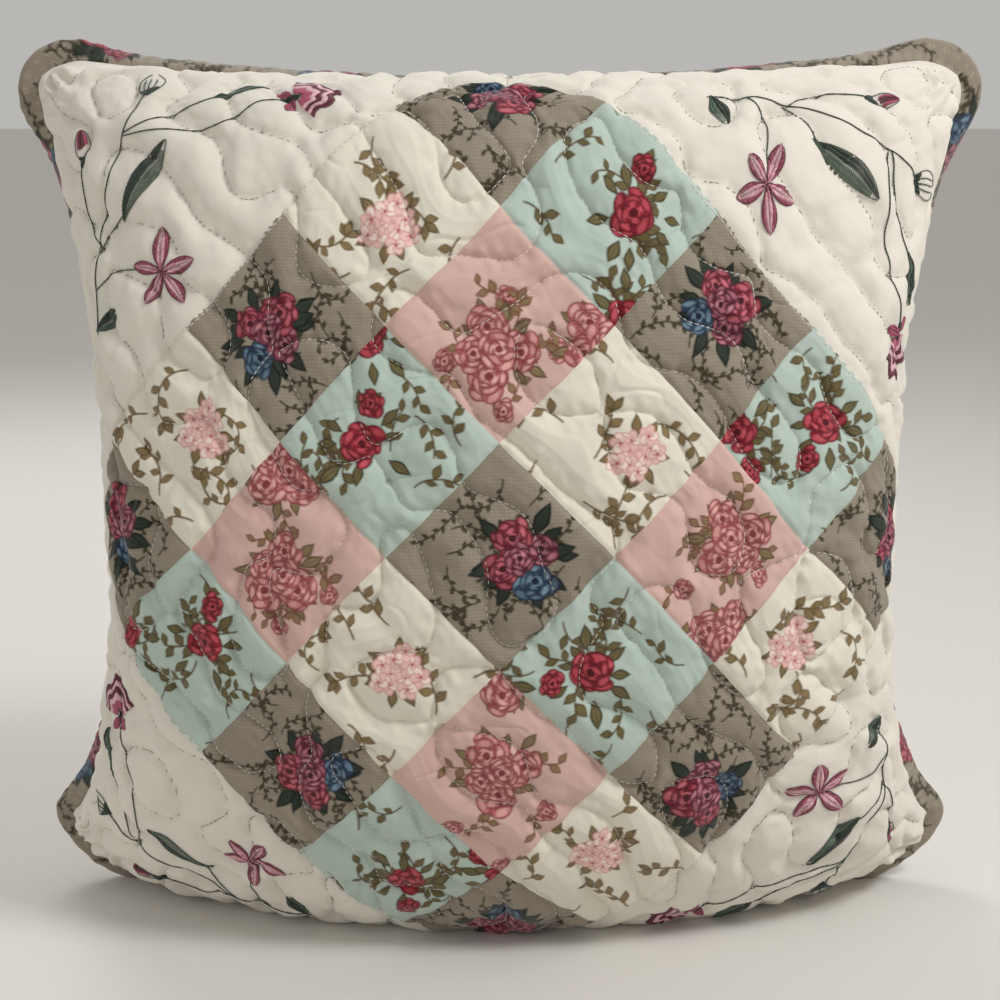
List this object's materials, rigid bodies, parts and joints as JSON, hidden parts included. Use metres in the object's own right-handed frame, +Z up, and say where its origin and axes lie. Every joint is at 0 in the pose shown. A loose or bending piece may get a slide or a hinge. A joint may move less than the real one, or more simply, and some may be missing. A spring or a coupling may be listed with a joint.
{
  "type": "throw pillow",
  "caption": "Square quilted throw pillow standing on its lower edge: patchwork front set on point, embroidered corners, bound edge, zipped back and loose insert.",
  "frame": {"origin": "on the ground under the middle of the standing pillow", "axes": "+Z up, -Y out of the patchwork front, +X to the right seen from the front"},
  "size_m": [0.437, 0.1806, 0.4036],
  "materials": {
    "linen_print": "grey-brown printed cotton, dark twigs and rose bouquets, plain weave",
    "cream_print": "cream printed cotton, brown twigs and pale pink blossom, plain weave",
    "mint_print": "pale aqua printed cotton, red roses and olive leaves, plain weave",
    "rose_print": "dusty pink printed cotton, rose bouquets, plain weave",
    "ground_cotton": "off-white cotton, matt, plain weave",
    "calico": "unbleached cotton, matt",
    "polyester_fibre": "white polyester fibre, fluffy",
    "embroidery_thread": "rayon embroidery thread, satin sheen, green with burgundy flowers",
    "zip_tape": "woven polyester tape, matt",
    "zip_nylon": "nylon coil, satin",
    "zinc_alloy": "plated zinc alloy, satin"
  },
  "bodies": {
    "cushion": {"back_panel_lower": "ground_cotton", "back_panel_upper": "ground_cotton", "binding_bottom": "linen_print", "binding_left": "linen_print", "binding_right": "linen_print", "binding_top": "linen_print", "embroidery_lower_left": "embroidery_thread", "embroidery_lower_right": "embroidery_thread", "embroidery_upper_left": "embroidery_thread", "embroidery_upper_right": "embroidery_thread", "fibre_filling": "polyester_fibre", "front_ground": "ground_cotton", "front_lining": "calico", "front_wadding": "polyester_fibre", "insert_ticking_back": "calico", "insert_ticking_front": "calico", "patch_a1": "linen_print", "patch_a2": "cream_print", "patch_a3": "linen_print", "patch_a4": "cream_print", "patch_a5": "linen_print", "patch_b1": "mint_print", "patch_b2": "rose_print", "patch_b3": "mint_print", "patch_b4": "rose_print", "patch_b5": "mint_print", "patch_c1": "linen_print", "patch_c2": "cream_print", "patch_c3": "linen_print", "patch_c4": "cream_print", "patch_c5": "linen_print", "patch_d1": "mint_print", "patch_d2": "rose_print", "patch_d3": "mint_print", "patch_d4": "rose_print", "patch_d5": "mint_print", "patch_e1": "linen_print", "patch_e2": "cream_print", "patch_e3": "linen_print", "patch_e4": "cream_print", "patch_e5": "linen_print", "zip_bottom_stop": "zinc_alloy", "zip_coil_lower": "zip_nylon", "zip_coil_upper": "zip_nylon", "zip_tape_lower": "zip_tape", "zip_tape_upper": "zip_tape", "zip_top_stop_lower": "zinc_alloy", "zip_top_stop_upper": "zinc_alloy"},
    "slider": {"zip_slider": "zinc_alloy"},
    "pull": {"zip_pull": "zinc_alloy"}
  },
  "joints": [
    {"name": "zip_slide", "type": "hinge", "parent": "cushion", "child": "slider", "pos_m": [0, -0.34447, 0.12022], "axis": [0, 0, -1], "range_deg": [0, 37.67]},
    {"name": "pull_flip", "type": "hinge", "parent": "slider", "child": "pull", "pos_m": [-0.14028, 0.06565, 0.12022], "axis": [0, 0, 1], "range_deg": [0, 168]}
  ]
}
